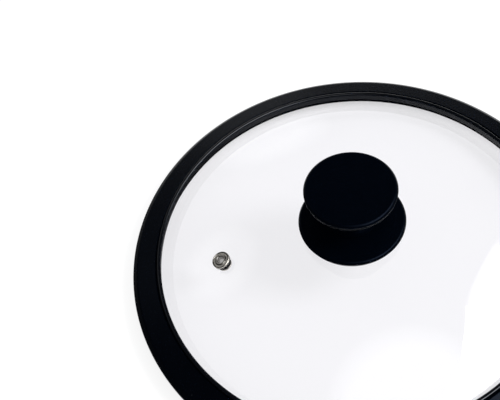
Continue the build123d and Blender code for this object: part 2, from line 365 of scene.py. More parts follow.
# %% The rim
def make_rim():
    """The section's corners, from the lip on the glass outwards over the top and back below."""
    under = -glass_thickness - seal_gap
    section = outline(
        (lip_foot, dome_height(lip_foot, seal_gap), 0.15),
        (lip_inner, bead_top, 1.05),
        (groove_inner, bead_top, 1.05),
        ((groove_inner + groove_outer) / 2, groove_bottom, 0.2),
        (groove_outer, flange_inner_top, 0.35),
        (crown_radius, crown_height, 4.0),
        (lid_radius, flange_edge_top, 0.9),
        (lid_radius, flange_bottom + lower_bevel, 0.6),
        (lid_radius - lower_bevel, flange_bottom, 0.5),
        (skirt_outer, flange_bottom, 0.6),
        (skirt_outer, lead_in, 0.8),
        (skirt_outer - lead_in, 0, 0.5),
        (skirt_inner + soft_edge, 0, 0.4),
        (skirt_inner, soft_edge, 0.4),
        (skirt_inner, lower_lip_bottom - lower_lip_thickness / 2, 0.8),
        (lower_lip_inner, lower_lip_bottom, 0.7),
        (lower_lip_inner, dome_height(lower_lip_inner, under), 0.2),
        (slot_radius, dome_height(slot_radius, under), 0.3),
        (slot_radius, dome_height(slot_radius, seal_gap), 0.3),
    )
    return skin("rim_moulding", turned(section, 352))


stand_for(make_rim(), "silicone_rim")

# %% [markdown]
# ## The steam vent
#
# An eyelet pressed from thin stainless sheet is pushed through the glass and flared over a
# washer, like a rivet with a hole through it. Rubber on both sides keeps steel off glass. The
# flange has two rolled lips with a shallow dish between, which is where the bright rings come
# from. A bump map could fake them, but a mirror finish shows at once that nothing bends there,
# so they are drawn as true curves. Each piece is turned about the vent's own axis, with zero on
# the glass's upper face, and then carried to its place on the dome.

# %% Sizes of the vent
bore_radius = 2.0
barrel_radius = 2.4
sleeve_gap = 0.1
sleeve_wall = 0.6
rubber_thickness = 0.9
ring_thickness = 0.8
seal_radius = 5.0
backing_radius = 4.0
flange_radius = 5.05
flange_height = 1.3
inner_lip = 2.75             # from the bore out to here
dish_inner = 3.45
dish_outer = 4.15
dish_depth = 0.42
outer_lip = 4.5
outer_lip_drop = 0.12        # how far the outer lip lies below the inner one
edge_drop = 0.22
flare_width = 0.9
flare_height = 0.5
ring_columns = 96
sleeve_inner = barrel_radius + sleeve_gap
sleeve_outer = sleeve_inner + sleeve_wall
flange_low = rubber_thickness
flange_top = flange_low + flange_height
dish_floor = flange_top - dish_depth
grommet_top = -glass_thickness - backing_radius**2 / (2 * (sphere_radius - glass_thickness))
grommet_low = grommet_top - rubber_thickness
ring_low = grommet_low - ring_thickness
flare_radius = barrel_radius + flare_width
flare_low = ring_low - flare_height
print(f"the vent reaches from {flare_low:.1f} to {flange_top:.1f} mm about the glass's upper face")


# %% Eyelet, rings and grommet
def make_eyelet():
    """Inner lip, dish, outer lip, flange, barrel, flare and bore, as one outline."""
    section = outline(
        (bore_radius, flange_top, 0.45),
        (inner_lip, flange_top, 0.6),
        (dish_inner, dish_floor, 0.5),
        (dish_outer, dish_floor, 0.5),
        (outer_lip, flange_top - outer_lip_drop, 0.5),
        (flange_radius, flange_top - edge_drop, 0.6),
        (flange_radius, flange_low, 0.25),
        (barrel_radius, flange_low, 0.1),
        (barrel_radius, ring_low, 0.1),
        (flare_radius, ring_low, 0.15),
        (flare_radius, flare_low, 0.2),
        (barrel_radius, flare_low, 0.1),
        (bore_radius, ring_low, 0.4),
    )
    return skin("eyelet_pressing", at_vent(turned(section, 128)))


def make_ring(name, outer, low, high, rounding):
    """Plain ring round the eyelet's barrel, with soft corners."""
    section = outline(
        (sleeve_inner, low, rounding),
        (outer, low, rounding),
        (outer, high, rounding),
        (sleeve_inner, high, rounding),
    )
    return skin(name, at_vent(turned(section, ring_columns)))


def make_grommet():
    """Top hat: a flange under the glass and a sleeve up through its hole."""
    section = outline(
        (sleeve_inner, grommet_low, 0.15),
        (backing_radius, grommet_low, 0.3),
        (backing_radius, grommet_top, 0.15),
        (sleeve_outer, grommet_top, 0.1),
        (sleeve_outer, -sleeve_gap, 0.1),
        (sleeve_inner, -sleeve_gap, 0.1),
    )
    return skin("eyelet_grommet", at_vent(turned(section, ring_columns)))


stand_for(make_eyelet(), "vent_eyelet")
stand_for(make_ring("eyelet_seal", seal_radius, 0, flange_low, 0.25), "vent_gasket")
stand_for(make_ring("eyelet_backing", backing_radius, ring_low, grommet_low, 0.15), "vent_washer")
stand_for(make_grommet(), "vent_grommet")

# %% [markdown]
# ## The knob
#
# The grip is a spool moulded round a brass insert: a flat disc to hold, a waist for the fingers
# and a foot that sits on the guard. It could be modelled from a cylinder with loop cuts. An
# outline is surer, because the waist is one long curve, and the small upper rounds that draw the
# fine bright lines along the edges are numbers in it.

# %% Sizes of the spool
disc_edge = 4.5              # height of the disc's side
disc_taper = 1.2             # the side leans in by this much towards its lower edge
disc_round = 1.3
disc_shoulder = 1.25         # the upper bevel's height and width
disc_bevel = 1.1
round_loss = 0.05            # what a small round takes off the widest corner
lean = disc_taper / disc_edge
# Carried on past a round that just touches the disc's radius, the side meets the top here.
disc_corner = disc_radius + disc_round * (lean + np.sqrt(1 + lean**2) - 1)
disc_under = disc_corner - disc_taper
waist_radius = 10.5
waist_end = 6.5              # below the top, where the waist flares out into the disc
foot_radius = 14.0
foot_edge = 0.9
spigot_radius = 8.9
spigot_bevel = 0.4
spigot_length = 1.5
screw_hole = 2.8
screw_relief = 1.2           # room past the screw's tip
insert_radius = 4.5
insert_waist = 3.9
insert_waist_height = 3.0
insert_length = 10.0
land_height = (insert_length - insert_waist_height) / 2
waist_low = spigot_bottom + land_height
waist_high = waist_low + insert_waist_height
insert_top = spigot_bottom + insert_length
stem_seat = spigot_bottom + spigot_length
screw_tip = span("knob_screw")[1][2]
print(f"disc {2 * disc_radius:.1f} mm, waist {2 * waist_radius:.1f} mm, foot {2 * foot_radius:.1f} mm")


# %% The spool
def make_knob():
    """Disc, waist, foot and spigot outside; the insert's cavity and the screw's relief inside."""
    section = outline(
        (0, screw_tip + screw_relief),
        (screw_hole, screw_tip + screw_relief, 0.3),
        (screw_hole, insert_top, 0.1),
        (insert_radius, insert_top),
        (insert_radius, waist_high),
        (insert_waist, waist_high),
        (insert_waist, waist_low),
        (insert_radius, waist_low),
        (insert_radius, spigot_bottom, 0.1),
        (spigot_radius - spigot_bevel, spigot_bottom, 0.15),
        (spigot_radius, spigot_bottom + spigot_bevel, 0.15),
        (spigot_radius, stem_seat, 0.1),
        (foot_radius, stem_seat, 0.25),
        (foot_radius, stem_seat + foot_edge, 0.3),
        (waist_radius, stem_seat + 2 * foot_edge, 3.5),
        (waist_radius, knob_top - waist_end, 8.0),
        (disc_under, knob_top - disc_edge, 0.5),
        (disc_radius + round_loss, knob_top - disc_shoulder, 0.5),
        (disc_radius - disc_bevel, knob_top, 1.6),
        (0, knob_top),
        steps=10,
    )
    return skin("knob_moulding", turned(section, 224))


stand_for(make_knob(), "knob_grip")

# %% [markdown]
# The finger guard is a shallow cone that keeps fingers off hot glass. Its underside has to stay
# the same small way off the dome everywhere. A Shrinkwrap modifier could press it on, but here
# the outline's lower points are simply taken from the dome's own formula.

# %% The finger guard
guard_lift = 0.4             # off the glass
pocket_lift = 1.3            # roof of the gasket's pocket
pocket_radius = 19.3
socket_radius = 9.0
socket_depth = 1.6
under_inset = 1.6            # where the underside starts
cone_foot = 4.1              # heights above the edge of the underside
side_top = 2.75


def make_guard():
    """Shallow cone above; below, a face that follows the dome and a pocket for the gasket."""
    underside = np.linspace(guard_radius - under_inset, pocket_radius + 0.1, 12)
    pocket_roof = np.linspace(pocket_radius - 0.05, screw_hole + 0.3, 10)
    edge_low = dome_height(guard_radius, guard_lift)
    section = outline(
        (screw_hole, dome_height(screw_hole, pocket_lift), 0.1),
        (screw_hole, guard_seat - socket_depth, 0.1),
        (socket_radius, guard_seat - socket_depth, 0.1),
        (socket_radius, guard_seat, 0.25),
        (foot_radius, guard_seat, 1.5),
        (guard_radius - 1.0, edge_low + cone_foot, 1.6),
        (guard_radius + round_loss, edge_low + side_top, 0.5),
        (guard_radius - 1.1, dome_height(guard_radius - under_inset, guard_lift), 0.4),
        *((radius, dome_height(radius, guard_lift)) for radius in underside),
        (pocket_radius, dome_height(pocket_radius, pocket_lift)),
        *((radius, dome_height(radius, pocket_lift)) for radius in pocket_roof),
        steps=10,
    )
    return skin("guard_moulding", turned(section, 224))


stand_for(make_guard(), "knob_base")

# %% [markdown]
# The insert's two lands are knurled so that the moulding can't slip on them. A displacement
# texture would blur the ridges. A diamond knurl is two families of grooves that wind opposite
# ways, so the surface sinks where either of two waves, one of angle plus height and one of angle
# minus height, is high, and that can be worked out at each point of the grid.

# %% The knurled insert
def make_insert():
    """Radius of each land less the knurl's depth times the higher of two crossing waves."""
    teeth, depth, pitch = 26, 0.22, 1.05
    bore, bevel, rows = 2.55, 0.3, 18
    land = np.linspace(0.35, land_height - 0.25, rows)
    land_radius = np.full(rows, insert_radius)
    section = np.concatenate((
        ((bore, spigot_bottom + bevel), (bore + bevel, spigot_bottom)),
        ((insert_radius - bevel, spigot_bottom),),
        np.stack((land_radius, spigot_bottom + land), -1),
        ((insert_waist, waist_low), (insert_waist, waist_high)),
        np.stack((land_radius, waist_high + land), -1),
        ((insert_radius - bevel, insert_top),),
        ((bore + bevel, insert_top), (bore, insert_top - bevel)),
    ))
    grid = turned(section, 8 * teeth)
    angle = np.arctan2(grid[..., 1], grid[..., 0])
    climb = 2 * pi * grid[..., 2] / pitch
    waves = np.maximum(np.cos(teeth * angle + climb), np.cos(teeth * angle - climb))
    on_land = (section[:, 0] == insert_radius)[:, None]
    sink = np.where(on_land, depth * (0.5 + 0.5 * waves), 0.0)
    grid[..., 0] -= sink * np.cos(angle)
    grid[..., 1] -= sink * np.sin(angle)
    return skin("threaded_insert", grid, sharp=50.0)


stand_for(make_insert(), "knob_insert")

# %% [markdown]
# ## The fastening under the glass
#
# From below one sees a pan-head screw, a split washer, a plain washer and a milky gasket. A
# thread is often a Screw modifier's coil laid on a cylinder, which leaves two meshes in one
# another. Here it is let into the shank, so that the screw stays one closed surface: the radius
# dips where the height, less the pitch times the turns made, is half-way between two crests.

# %% Sizes of the screw
head_bottom = span("knob_screw")[0][2]
head_radius = span("knob_screw")[1][0]
washer_face = span("flat_washer")[0][2]
gasket_face = span("screw_gasket")[0][2]
head_face = span("spring_washer")[0][2]
thread_radius = 2.5
thread_pitch = 0.8
thread_depth = 0.49
thread_start = head_face + 1.2
tip_bevel = 0.5
face_radius = head_radius - 2.0
recess_half_width = 0.62
recess_flank = 0.14
recess_reach = 2.55
recess_ramp = 1.1
recess_deepest = 1.8
print(f"shank {screw_tip - head_face:.1f} mm long, {2 * thread_radius:.1f} mm thick")


# %% The screw
def recess_wing(along, across):
    """Depth of one wing: full inside its half width, less at its flanks and towards its end."""
    side = np.clip((recess_half_width - np.abs(across)) / recess_flank, 0, 1)
    end = np.clip((recess_reach - np.abs(along)) / recess_ramp, 0, 1)
    return recess_deepest * side * end


def make_screw():
    """Head, shank and tip turned together; the thread and the recess are then let in.

    The thread's dip is 1 where the turns made are half-way between two crests and falls on both
    flanks to 0 on the crest. It fades in over the first millimetre.
    """
    columns = 96
    face = np.linspace(0, face_radius, 26)
    thread = np.arange(thread_start, screw_tip - tip_bevel, thread_pitch / 12)
    head = outline(
        (0, head_bottom),
        (head_radius, head_bottom, 1.8),
        (head_radius, head_face, 0.25),
        (thread_radius, head_face, 0.1),
        (thread_radius, thread_start - 0.1),
        (0, thread_start - 0.1),
        steps=10,
    )
    on_shank = (head[:, 1] > head_face - 0.1) & (head[:, 0] > 0.1)
    section = np.concatenate((
        np.stack((face, np.full_like(face, head_bottom)), -1),
        head[(head[:, 0] > face_radius) | on_shank],
        np.stack((np.full_like(thread, thread_radius), thread), -1),
        ((thread_radius - tip_bevel, screw_tip), (0, screw_tip)),
    ))
    grid = turned(section, columns)
    angle = 2 * pi * np.arange(columns)[None] / columns
    turns = grid[..., 2] / thread_pitch - angle / (2 * pi)
    dip = np.clip(1.25 - 2.9 * np.abs(turns % 1 - 0.5), 0, 1)
    fade = np.clip(section[:, 1] - thread_start, 0, 1) * (section[:, 0] == thread_radius)
    radius = section[:, 0, None] - thread_depth * dip * fade[:, None]
    grid[..., 0] = radius * np.cos(angle)
    grid[..., 1] = radius * np.sin(angle)
    on_face = (np.arange(len(section)) < len(face))[:, None]
    x, y = grid[..., 0], grid[..., 1]
    grid[..., 2] += np.where(on_face, np.maximum(recess_wing(x, y), recess_wing(y, x)), 0.0)
    return skin("pan_head_screw", grid, sharp=40.0)


stand_for(make_screw(), "knob_screw")

# %% [markdown]
# The washers and gaskets are stamped, bent or moulded rings. The split washer is the odd one: a
# square wire whose two ends stand apart on a slant. A ring cut with a Boolean would do, but a
# section carried round between two slanted ends closes by itself. Both gaskets follow the glass.

# %% Washers and gaskets
def make_flat_washer():
    """Stamped ring with one rolled and one square side."""
    outer = span("flat_washer")[1][0]
    section = outline(
        (screw_hole, washer_face, 0.2),
        (outer, washer_face, 0.35),
        (outer, gasket_face, 0.1),
        (screw_hole, gasket_face, 0.1),
    )
    return skin("plain_washer", turned(section, 128))


def make_split_washer():
    """Square wire bent round and cut on a slant: the angle at each end shifts with height."""
    inner, outer, rounding = 2.65, 4.6, 0.12
    half_gap, slant = 0.52, radians(30)
    section = outline(
        (inner, head_face, rounding),
        (outer, head_face, rounding),
        (outer, washer_face, rounding),
        (inner, washer_face, rounding),
        steps=5,
    )
    tilt = (section[:, 1, None] - (head_face + washer_face) / 2) * np.tan(slant)
    turn = np.linspace(0, 1, 97)[None]
    ring = section[:, 0, None]
    first = (half_gap - tilt) / ring
    last = 2 * pi - (half_gap + tilt) / ring
    angle = first + (last - first) * turn
    grid = np.stack((ring * np.cos(angle), ring * np.sin(angle), section[:, 1, None] + 0 * turn), -1)
    centre = np.broadcast_to(grid.mean(0), grid.shape)
    return skin("split_washer", np.concatenate((centre[:, :1], grid, centre[:, -1:]), 1))


def make_guard_seal():
    """Silicone disc between two spheres that follow the dome."""
    inner, outer, thickness, bevel = 4.3, 19.0, 1.2, 0.15
    radius = np.linspace(inner, outer - 0.1, 16)
    section = np.concatenate((
        np.stack((radius, dome_height(radius, seal_gap)), -1),
        ((outer, dome_height(outer, seal_gap + bevel)),),
        ((outer, dome_height(outer, thickness - bevel)),),
        np.stack((radius, dome_height(radius, thickness)), -1)[::-1],
    ))
    return skin("guard_seal", turned(section, 128))


def make_screw_seal():
    """Top hat whose flange follows the glass's underside and whose sleeve lines its hole."""
    flange, bevel = 9.0, 0.1
    sleeve = centre_hole_radius - 0.1
    sleeve_top = dome_top - 0.1
    under = -glass_thickness - seal_gap
    radius = np.linspace(flange - bevel, centre_hole_radius, 8)
    section = np.concatenate((
        ((screw_hole, gasket_face + bevel), (screw_hole + bevel, gasket_face)),
        ((flange - 2 * bevel, gasket_face), (flange, gasket_face + 2 * bevel)),
        ((flange, dome_height(flange, under) - bevel),),
        np.stack((radius, dome_height(radius, under)), -1),
        ((sleeve, dome_height(sleeve, under) + 0.05), (sleeve, sleeve_top - bevel)),
        ((sleeve - bevel, sleeve_top), (screw_hole + bevel, sleeve_top)),
        ((screw_hole, sleeve_top - bevel),),
    ))
    return skin("screw_seal", turned(section, 128))


stand_for(make_flat_washer(), "flat_washer")
stand_for(make_split_washer(), "spring_washer")
stand_for(make_guard_seal(), "knob_gasket")
stand_for(make_screw_seal(), "screw_gasket")

# %% [markdown]
# ## Writing shaders as sums
#
# A material is a graph of nodes, and its arithmetic is easier to read as Python. `Signal` wraps
# one node output. Adding, subtracting or multiplying signals adds the Math node that does it, so
# `0.5 + 0.1 * grain` is two nodes. Every other node comes from `Finish.add`.

# %% Signals
class Signal:
    """One node output that takes part in arithmetic."""

    def __init__(self, finish, socket):
        self.finish = finish
        self.socket = socket

    def math(self, operation, first, second):
        return self.finish.add("Math", {"operation": operation}, {0: first, 1: second})

    def __add__(self, other):
        return self.math("ADD", self, other)

    def __sub__(self, other):
        return self.math("SUBTRACT", self, other)

    def __rsub__(self, other):
        return self.math("SUBTRACT", other, self)

    def __mul__(self, other):
        return self.math("MULTIPLY", self, other)

    __radd__ = __add__
    __rmul__ = __mul__


# %% Nodes of a finish
class Finish:
    """A material, or the world, under construction."""

    def __init__(self, owner):
        owner.use_nodes = True
        self.owner = owner
        self.tree = owner.node_tree
        self.tree.nodes.clear()

    def add(self, kind, settings=None, inputs=None, output=0):
        """Any node: its type, its settings first, then the values or links of its sockets."""
        node = self.tree.nodes.new("ShaderNode" + kind)
        for key, value in (settings or {}).items():
            setattr(node, key, value)
        for key, value in (inputs or {}).items():
            if isinstance(value, Signal):
                self.tree.links.new(value.socket, node.inputs[key])
            else:
                node.inputs[key].default_value = value
        return Signal(self, node.outputs[output])

    def ray(self, kind):
        """1 for rays of this kind and 0 for all others."""
        return self.add("LightPath", output=f"Is {kind} Ray")

    def larger(self, first, second):
        return self.add("Math", {"operation": "MAXIMUM"}, {0: first, 1: second})

    def vector(self, operation, first, second=(0.0, 0.0, 0.0), output="Vector"):
        return self.add("VectorMath", {"operation": operation}, {0: first, 1: second}, output)

    def length(self, vector):
        return self.vector("LENGTH", vector, output="Value")

    def part(self, vector, axis):
        """A vector's X, Y or Z."""
        return self.add("SeparateXYZ", None, {0: vector}, axis)

    def place(self):
        """Where a point of the surface is on the piece, in metres."""
        return self.add("TexCoord", output="Object")

    def round_axis(self):
        """Distance from the lid's axis and height above its foot, in millimetres."""
        flat = self.vector("MULTIPLY", self.place(), (1.0, 1.0, 0.0))
        return self.length(flat) * (1 / METRE), self.part(self.place(), "Z") * (1 / METRE)

    def noise(self, size, detail):
        """Soft random pattern whose blotches are about this many millimetres across, 0 to 1."""
        inputs = {"Vector": self.place(), "Scale": 1 / (size * METRE), "Detail": detail}
        return self.add("TexNoise", {"noise_dimensions": "3D"}, inputs)

    def between(self, share, low, high):
        """Share rescaled so that low gives 0 and high gives 1, held within them."""
        return self.add("MapRange", {"clamp": True}, {0: share, 1: low, 2: high, 3: 0.0, 4: 1.0})

    def blend(self, share, first, second):
        """Colour that goes from the first to the second as the share goes from 0 to 1."""
        return self.add("Mix", {"data_type": "RGBA"}, {0: share, 6: first, 7: second}, output=2)

    def relief(self, height, depth, strength):
        """Surface normal of a bump with this height map, whose full height is the depth, in mm."""
        inputs = {"Height": height, "Distance": depth * METRE, "Strength": strength}
        return self.add("Bump", None, inputs)

    def surface(self, shader):
        """Ends the graph and gives back what it was made for."""
        kind = "OutputWorld" if isinstance(self.owner, bpy.types.World) else "OutputMaterial"
        output = self.tree.nodes.new("ShaderNode" + kind)
        self.tree.links.new(shader.socket, output.inputs["Surface"])
        return self.owner


def rgb(red, green, blue):
    """Colour in linear light."""
    return (red, green, blue, 1.0)


finishes = {}


def keep(slot, material):
    """Notes a finished material under its slot, and prints how many nodes it took."""
    finishes[slot] = material
    print(f"{slot}: {len(material.node_tree.nodes)} nodes")


# %% [markdown]
# ## Finishes
#
# Black silicone has next to no colour. What one sees is the room in it, softened by a fine grain
# from the eroded mould, with a few specks of dust. It isn't equally dull everywhere: the bead's
# crown is rubbed to a sheen, the flange is softer, and the bottom of the groove, which no cloth
# reaches, is matte. One roughness for all would look like paint, so a point's distance from the
# axis and its height share the finishes out.

# %% Black silicone
def black_silicone():
    finish = Finish(bpy.data.materials.new("black_silicone"))
    grain = finish.noise(0.35, 3.0)
    cloud = finish.noise(12.0, 4.0)
    dust = finish.between(finish.noise(1.1, 1.0), 0.72, 0.80) * finish.between(cloud, 0.45, 0.6)
    colour = finish.blend(cloud, rgb(0.0003, 0.0008, 0.0022), rgb(0.0008, 0.0016, 0.0036))
    colour = finish.blend(0.5 * dust, colour, rgb(0.03, 0.03, 0.03))
    radius, height = finish.round_axis()
    flange = finish.between(radius, groove_inner, groove_outer)
    crown = finish.between(height, bead_top - 0.45, bead_top - 0.20)
    groove = 1 - finish.between(height, flange_inner_top - 0.6, flange_inner_top - 0.2)
    groove = groove * finish.between(radius, groove_inner - 0.4, groove_inner - 0.1)
    groove = groove * (1 - finish.between(radius, groove_outer, groove_outer + 0.2))
    normal = finish.relief(grain + 0.6 * cloud, 0.04, 0.5)
    satin = finish.add("BsdfPrincipled", None, {
        "Base Color": colour,
        "Roughness": 0.12 + 0.10 * flange + 0.06 * cloud + 0.04 * grain,
        "IOR": 1.41,
        "Specular IOR Level": 0.15,
        "Specular Tint": rgb(0.62, 0.75, 1.0),
        "Coat Weight": crown,
        "Coat Roughness": 0.14,
        "Normal": normal,
    })
    matte = finish.add("BsdfDiffuse", None, {"Color": colour, "Normal": normal})
    return finish.surface(finish.add("MixShader", None, {0: groove, 1: satin, 2: matte}))


keep("black_silicone", black_silicone())

# %% [markdown]
# The knob and guard are a hard thermoset moulding: blue-black, with a satin skin, faint flow
# marks and a spark-eroded grain too fine to see except as softness. The waist, and the guard
# round its foot, are duller than the rest, because no cloth rubs them.

# %% Black moulding
def black_moulding():
    finish = Finish(bpy.data.materials.new("black_moulding"))
    grain = finish.noise(0.22, 2.0)
    flow = finish.noise(6.0, 5.0)
    radius, height = finish.round_axis()
    waist = 1 - finish.between(height, knob_top - 7.5, knob_top - 5.5)
    waist = waist * (1 - finish.between(radius, 17.0, 24.0))
    colour = finish.blend(flow, rgb(0.0002, 0.0009, 0.0028), rgb(0.0006, 0.0016, 0.0038))
    normal = finish.relief(grain + 0.4 * flow, 0.03, 0.5)
    satin = finish.add("BsdfPrincipled", None, {
        "Base Color": colour,
        "Roughness": 0.20 + 0.06 * flow + 0.04 * grain,
        "IOR": 1.45,
        "Specular IOR Level": 0.09,
        "Specular Tint": rgb(0.5, 0.65, 1.0),
        "Normal": normal,
    })
    matte = finish.add("BsdfDiffuse", None, {"Color": colour, "Normal": normal})
    return finish.surface(finish.add("MixShader", None, {0: 0.9 * waist, 1: satin, 2: matte}))


keep("black_moulding", black_moulding())

# %% [markdown]
# The vent's gasket and grommet are nitrile rubber, duller still and slightly brown. One dark
# grey would nearly do for such small pieces, but the gasket's edge is seen against bright steel,
# so it gets a grain too.

# %% Black rubber
def black_rubber():
    finish = Finish(bpy.data.materials.new("black_rubber"))
    grain = finish.noise(0.3, 3.0)
    shader = finish.add("BsdfPrincipled", None, {
        "Base Color": finish.blend(grain, rgb(0.004, 0.004, 0.004), rgb(0.010, 0.009, 0.009)),
        "Roughness": 0.55 + 0.2 * grain,
        "IOR": 1.5,
        "Normal": finish.relief(grain, 0.05, 0.6),
    })
    return finish.surface(shader)


keep("black_rubber", black_rubber())

# %% [markdown]
# Clear glass has no colour to speak of. What tells it apart is the light it bends and mirrors,
# plus the faint film that a dish cloth leaves, which only roughens it here and there. Lamps
# can't find their way through bent glass in a render, so a ray towards a lamp, or from a matte
# surface, is let straight through, a little dimmed.

# %% Clear glass
def clear_glass():
    finish = Finish(bpy.data.materials.new("clear_glass"))
    film = finish.between(finish.noise(45.0, 5.0), 0.52, 0.78)
    glass = finish.add("BsdfPrincipled", None, {
        "Base Color": finish.blend(film, rgb(0.976, 0.971, 0.992), rgb(0.969, 0.964, 0.987)),
        "Roughness": 0.012 * film,
        "IOR": 1.52,
        "Transmission Weight": 1.0,
    })
    straight = finish.add("BsdfTransparent", None, {"Color": rgb(0.93, 0.93, 0.95)})
    shader = finish.add("MixShader", None, {0: finish.ray("Diffuse"), 1: glass, 2: straight})
    shader = finish.add("MixShader", None, {0: finish.ray("Shadow"), 1: shader, 2: straight})
    return finish.surface(shader)


keep("clear_glass", clear_glass())

# %% [markdown]
# The eyelet is stainless steel, tumbled until it is nearly a mirror. Fine scratches run every
# way, and inside the bore the steel's colour is made darker and greyer. Its
# shine comes from the true curves and from what they mirror, so the finish only varies the gloss
# a little, with no pattern painted on.

# %% Polished steel
def polished_steel():
    finish = Finish(bpy.data.materials.new("polished_steel"))
    scratches = finish.noise(0.18, 4.0)
    stain = finish.noise(2.5, 3.0)
    from_vent = finish.vector("SUBTRACT", finish.place(), vent_origin * METRE)
    from_axis = finish.length(finish.vector("CROSS_PRODUCT", from_vent, vent_normal))
    # 0 inside the bore, where the steel's colour is darker and greyer, and 1 outside it
    outside_bore = finish.between(from_axis, bore_radius * METRE, (bore_radius + 0.3) * METRE)
    steel = finish.blend(stain, rgb(0.52, 0.49, 0.44), rgb(0.62, 0.59, 0.54))
    shader = finish.add("BsdfPrincipled", None, {
        "Base Color": finish.blend(outside_bore, rgb(0.42, 0.41, 0.40), steel),
        "Metallic": 1.0,
        "Roughness": 0.13 + 0.10 * stain + 0.05 * scratches,
        "Normal": finish.relief(scratches, 0.01, 0.5),
    })
    return finish.surface(shader)


keep("polished_steel", polished_steel())

# %% [markdown]
# Zinc plate on the screw and washers is bluish, cloudy and softer in gloss. The same clouds
# drive its colour and its gloss, as on a real thin plate. Turned brass is warm with fine rings,
# which a sine of the height gives. The gaskets under the knob are unpigmented silicone, milky
# because light scatters inside it, which a pale colour alone would not show.

# %% Zinc plate, brass and milky silicone
def zinc_steel():
    finish = Finish(bpy.data.materials.new("zinc_steel"))
    cloud = finish.noise(1.8, 4.0)
    shader = finish.add("BsdfPrincipled", None, {
        "Base Color": finish.blend(cloud, rgb(0.46, 0.48, 0.50), rgb(0.60, 0.61, 0.62)),
        "Metallic": 1.0,
        "Roughness": 0.24 + 0.22 * cloud,
        "Normal": finish.relief(cloud, 0.03, 0.5),
    })
    return finish.surface(shader)


def brass():
    finish = Finish(bpy.data.materials.new("brass"))
    ring_spacing = 0.18
    height = finish.round_axis()[1]
    rings = finish.add("Math", {"operation": "SINE"}, {0: height * (2 * pi / ring_spacing)})
    tarnish = finish.noise(3.0, 4.0)
    shader = finish.add("BsdfPrincipled", None, {
        "Base Color": finish.blend(tarnish, rgb(0.62, 0.42, 0.15), rgb(0.78, 0.57, 0.25)),
        "Metallic": 1.0,
        "Roughness": 0.22 + 0.15 * tarnish,
        "Normal": finish.relief(0.5 + 0.5 * rings, 0.006, 0.4),
    })
    return finish.surface(shader)


def milky_silicone():
    finish = Finish(bpy.data.materials.new("milky_silicone"))
    cloud = finish.noise(4.0, 3.0)
    shader = finish.add("BsdfPrincipled", None, {
        "Base Color": finish.blend(cloud, rgb(0.70, 0.71, 0.70), rgb(0.80, 0.80, 0.78)),
        "Roughness": 0.35 + 0.15 * cloud,
        "IOR": 1.41,
        "Subsurface Weight": 0.4,
        "Subsurface Radius": (1.0, 0.9, 0.8),
        "Subsurface Scale": 2.0 * METRE,
        "Normal": finish.relief(cloud, 0.04, 0.4),
    })
    return finish.surface(shader)


keep("zinc_steel", zinc_steel())
keep("brass", brass())
keep("milky_silicone", milky_silicone())

# %% [markdown]
# ## Put the pieces on their bodies
#
# Each new piece rides on the body that its CAD node belongs to, hides that node, and takes the
# material slot that the record gives it. Plain parenting would move a piece as well, but these
# calls also note what stands for what, and the pairs come from the frame, so none is typed twice.

# %% Ride, replace and name the slot
slot_of = {part["node"]: part["material_slot"] for part in frame["record"]["subparts"]}
bodies = frame["record"]["behaviour"]["bodies"]
body_of = {node: body for body, nodes in bodies.items() for node in nodes}
for node, piece in pieces.items():
    piece.data.materials.append(finishes[slot_of[node]])
    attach(piece, body_of[node])
    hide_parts(node)
print(len(pieces), "pieces ride on", sorted(set(body_of.values())))

# %% [markdown]
# ## The studio
#
# The lid lies on a white sweep. A floor lit by lamps alone is never an even white, so this one
# adds its own light, but only where the camera, a mirror or the glass looks at it: the page stays
# white, nothing is lit from below, and the object keeps its shadow, except where painted light
# lightens it: outside the rim, and in a ring next to the skirt on the far side. X runs to the
# right and Y to the far side. Each pair of numbers below is a soft edge, in metres.

# %% Floor
FLOOR_SIZE = 3.0
FLOOR_GLOW = 0.80
# painted light: extra glow outside the rim that lightens the lid's shadow there
PAGE_GLOW = 0.08
PAGE_START = (0.120, 0.135)
# painted light: extra glow in a ring next to the far skirt that lightens the shade there
CORNER_GLOW = 0.13
CORNER_START = (0.1045, 0.1110)
CORNER_END = (0.112, 0.118)
CORNER_FAR = (0.02, 0.08)
MIRRORED_FLOOR = 0.76
MIRRORED_START = (0.12, 0.14)
MIRRORED_FAR = (-0.02, 0.10)
MIRRORED_RIGHT = (-0.137, -0.117)


def floor_glow(finish):
    """Light of the floor itself.

    The camera and rays through glass see it in full, with a little more outside the lid, and in
    the ring next to the skirt on the far side, which is seen through the edge of the glass. That
    extra is painted light, which lightens the lid's shadow on the floor in both places. A
    mirror sees less of it, and none in a wedge at the lid's left, where the rim is dark.
    """
    place = finish.place()
    across, far = finish.part(place, "X"), finish.part(place, "Y")
    from_middle = finish.length(place)
    page = finish.between(from_middle, *PAGE_START)
    corner = finish.between(from_middle, *CORNER_START)
    corner = corner * (1 - finish.between(from_middle, *CORNER_END))
    corner = corner * finish.between(far + 0.3 * across, *CORNER_FAR)
    # page and corner add painted light over the lid's shadow on the floor
    plain = FLOOR_GLOW + PAGE_GLOW * page + CORNER_GLOW * corner
    beyond = finish.between(from_middle, *MIRRORED_START)
    beyond = beyond * finish.between(far + 0.9 * across, *MIRRORED_FAR)
    right = finish.between(across - 0.9 * far, *MIRRORED_RIGHT)
    bright = MIRRORED_FLOOR * finish.larger(beyond, right)
    mirrored = finish.between(finish.add("LightPath", output="Glossy Depth"), 0.0, 1.0)
    seen = finish.larger(finish.ray("Camera"), finish.ray("Transmission"))
    seen = finish.larger(seen, finish.ray("Glossy"))
    return seen * (plain * (1 - mirrored) + bright * mirrored)


